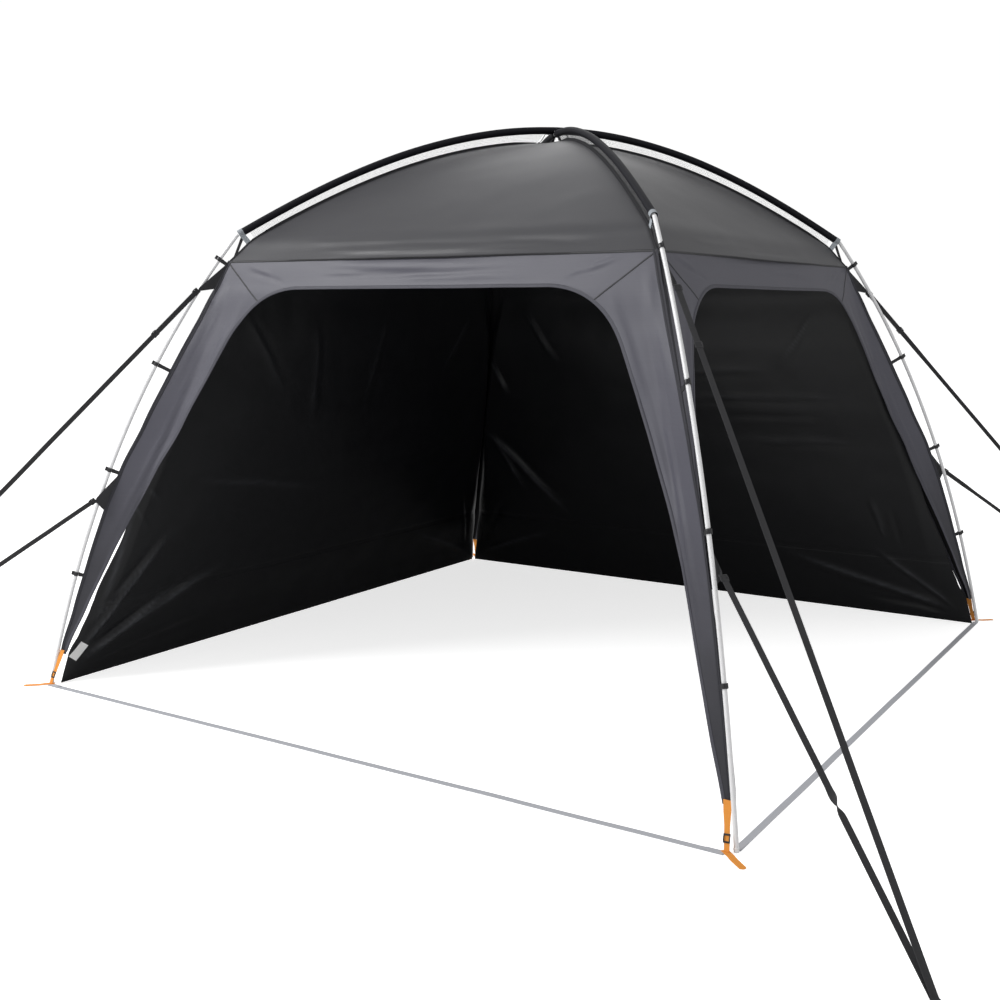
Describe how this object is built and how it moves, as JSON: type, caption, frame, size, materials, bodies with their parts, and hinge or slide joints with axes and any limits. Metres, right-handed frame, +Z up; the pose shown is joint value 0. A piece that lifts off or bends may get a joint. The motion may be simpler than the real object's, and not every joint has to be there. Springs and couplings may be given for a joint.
{
  "type": "camping shelter",
  "caption": "Square camping shelter with a dome canopy on crossed arch poles, bowed legs, guy straps, and walls on two sides.",
  "frame": {"origin": "on the ground, under the crossing of the two arch poles", "axes": "+Z up, +X to the right seen from the open front, -Y towards the open front"},
  "size_m": [4.4152, 4.4158, 2.2616],
  "materials": {
    "pole": "pale silver powder coat",
    "roof_fabric": "charcoal coated polyester with a soft sheen",
    "side_fabric": "dark grey coated polyester",
    "wall_fabric": "matte black coated polyester",
    "sleeve": "black sleeve fabric",
    "sleeve_web": "open black net",
    "webbing": "woven dark webbing",
    "pale_webbing": "woven pale grey webbing",
    "grey_webbing": "woven mid grey webbing",
    "orange_webbing": "woven orange webbing",
    "buckle": "moulded black plastic",
    "label": "blank white sewn tag"
  },
  "bodies": {
    "root": {"arch_pole_left": "pole", "arch_pole_right": "pole", "leg_pole_front_left": "pole", "leg_pole_front_right": "pole", "leg_pole_back_right": "pole", "leg_pole_back_left": "pole", "apex_tie": "webbing", "pole_sleeve_front_left": "sleeve", "pole_sleeve_front_right": "sleeve", "pole_sleeve_back_right": "sleeve", "pole_sleeve_back_left": "sleeve", "sleeve_web_front_left": "sleeve_web", "sleeve_web_front_right": "sleeve_web", "sleeve_web_back_right": "sleeve_web", "sleeve_web_back_left": "sleeve_web", "roof_panel_front": "roof_fabric", "roof_panel_right": "roof_fabric", "roof_panel_back": "roof_fabric", "roof_panel_left": "roof_fabric", "eave_front": "side_fabric", "eave_right": "side_fabric", "eave_back": "side_fabric", "eave_left": "side_fabric", "leg_panel_front_left": "side_fabric", "leg_panel_front_right": "side_fabric", "leg_panel_back_right": "side_fabric", "leg_panel_back_left": "side_fabric", "corner_tape_front_left": "webbing", "corner_tape_front_right": "webbing", "corner_tape_back_right": "webbing", "corner_tape_back_left": "webbing", "guy_strap_upper_front_left": "webbing", "guy_strap_upper_front_right": "webbing", "guy_strap_upper_back_right": "webbing", "guy_strap_upper_back_left": "webbing", "guy_strap_lower_front_left": "webbing", "guy_strap_lower_front_right": "webbing", "guy_strap_lower_back_right": "webbing", "guy_strap_lower_back_left": "webbing", "foot_strap_front_left": "orange_webbing", "foot_strap_front_right": "orange_webbing", "foot_strap_back_right": "orange_webbing", "foot_strap_back_left": "orange_webbing", "ground_strap_front": "pale_webbing", "ground_strap_right": "pale_webbing", "wall_back": "wall_fabric", "wall_left": "wall_fabric"}
  },
  "joints": []
}
